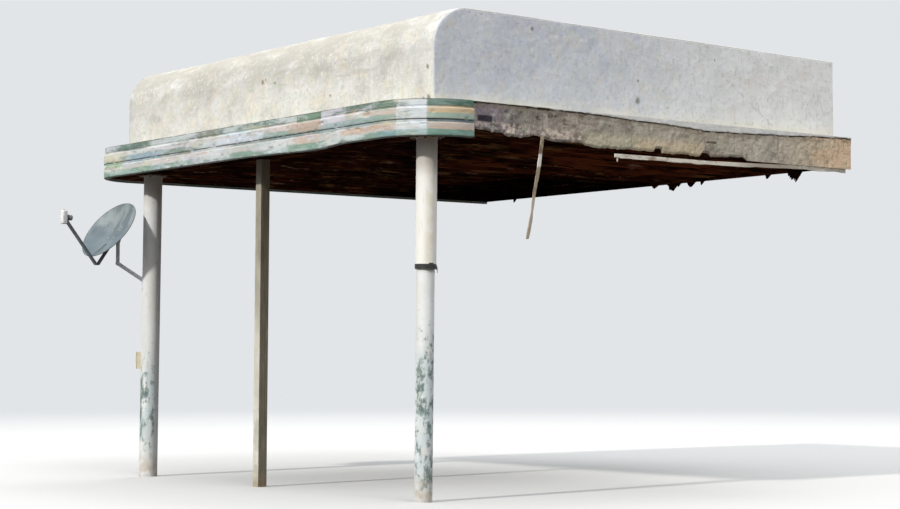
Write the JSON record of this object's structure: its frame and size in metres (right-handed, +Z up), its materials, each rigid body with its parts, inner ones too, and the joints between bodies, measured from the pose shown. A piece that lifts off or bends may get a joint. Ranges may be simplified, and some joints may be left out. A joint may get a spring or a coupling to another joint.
{
  "type": "filling station canopy",
  "caption": "Old timber-framed filling station canopy with a moulded plaster fascia, round front corners, a stuccoed bulkhead with a rolled edge, three posts and a wall ledger.",
  "frame": {"origin": "middle of the back face of the wall ledger, where it bears on the wall, 3.4725 m over the ground", "axes": "+X along the wall to the right as seen from the drive, +Y into the wall, +Z up"},
  "size_m": [6.3, 6.4686, 4.575],
  "materials": {
    "post_paint": "chalky white paint over blue-green, peeling low down",
    "prop_timber": "weathered cream paint on grey timber",
    "strap": "matt black band",
    "plate_steel": "rusted steel plate",
    "old_timber": "dark old softwood, rough sawn",
    "deck_boards": "dark tongue-and-groove boards",
    "lath": "split pale laths",
    "moulding": "plaster moulding painted white, peach and green, peeling",
    "rough_plaster": "broken grey-brown plaster, stained tan at the wall",
    "loose_trim": "loose white painted strip",
    "ledge_stucco": "weathered stucco, green at the edge",
    "bulkhead_stucco": "rough white stucco with grey stains and fine cracks",
    "framing": "dry softwood framing",
    "felt": "grey tarred felt with grit",
    "dish_paint": "matt grey painted steel",
    "dish_steel": "grey galvanised tube",
    "dish_plastic": "white weathered plastic",
    "outlet": "yellowed cream paint"
  },
  "bodies": {
    "root": {"post_left": "post_paint", "post_right": "post_paint", "post_sleeve": "post_paint", "post_middle": "prop_timber", "post_strap": "strap", "bearing_plates": "plate_steel", "front_header": "old_timber", "wall_ledger": "old_timber", "joist_strips": "old_timber", "ceiling_joists": "old_timber", "lookouts": "old_timber", "rim_front": "old_timber", "rim_left": "old_timber", "rim_right": "old_timber", "rim_corner_left": "old_timber", "rim_corner_right": "old_timber", "ledge_packing": "old_timber", "ceiling_deck": "deck_boards", "roof_deck": "deck_boards", "lath_remnants": "lath", "hanging_strip": "lath", "fascia_front": "moulding", "fascia_left": "moulding", "fascia_corner_left": "moulding", "fascia_corner_right": "moulding", "raw_edge_right": "rough_plaster", "loose_strip": "loose_trim", "ledge_front": "ledge_stucco", "ledge_left": "ledge_stucco", "ledge_right": "ledge_stucco", "stucco_front": "bulkhead_stucco", "stucco_left": "bulkhead_stucco", "stucco_right": "bulkhead_stucco", "sole_plates": "framing", "curved_ribs": "framing", "side_studs": "framing", "top_plates": "framing", "rafters": "framing", "roof_ledger": "framing", "roof_felt": "felt", "dish_reflector": "dish_paint", "dish_arm": "dish_steel", "dish_mast": "dish_steel", "dish_head": "dish_plastic", "outlet_box": "outlet"}
  },
  "joints": []
}
